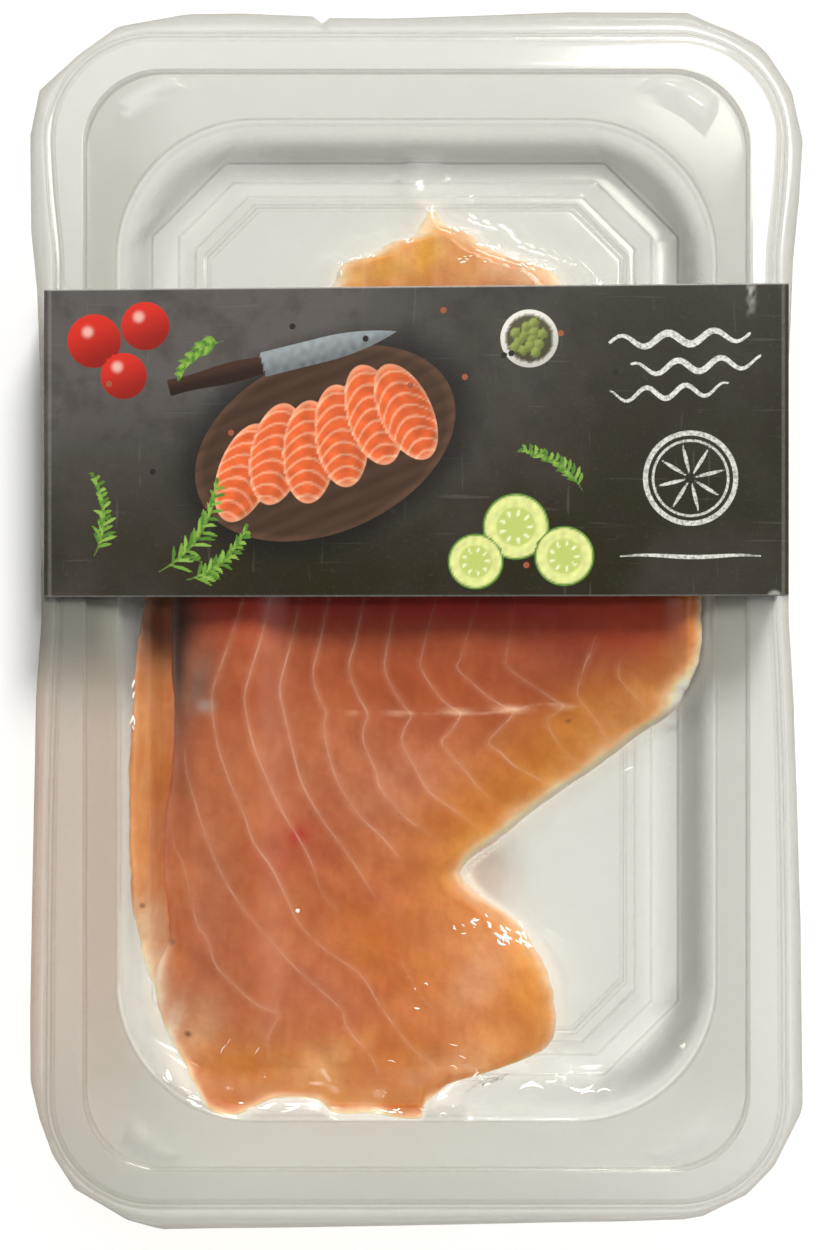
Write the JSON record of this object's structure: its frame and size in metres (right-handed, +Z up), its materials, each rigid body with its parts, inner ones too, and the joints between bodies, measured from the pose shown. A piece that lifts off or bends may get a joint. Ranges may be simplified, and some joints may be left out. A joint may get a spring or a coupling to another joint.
{
  "type": "pack of smoked salmon",
  "caption": "Clear plastic tray of sliced smoked salmon under a close skin film, held by a dark printed card sleeve.",
  "frame": {"origin": "under the middle of the pack's bounding box, on the underside of the card sleeve", "axes": "+X across the pack, +Y along its length towards the end nearer the sleeve, +Z up out of the open side of the tray"},
  "size_m": [0.144, 0.227, 0.0174],
  "materials": {
    "clear_tray": "clear, glossy",
    "clear_film": "clear, glossy",
    "salmon": "moist, satin",
    "printed_card": "printed, satin varnish"
  },
  "bodies": {
    "root": {"tray": "clear_tray", "film": "clear_film", "salmon_main_slice": "salmon", "salmon_under_slice": "salmon", "sleeve": "printed_card"}
  },
  "joints": []
}
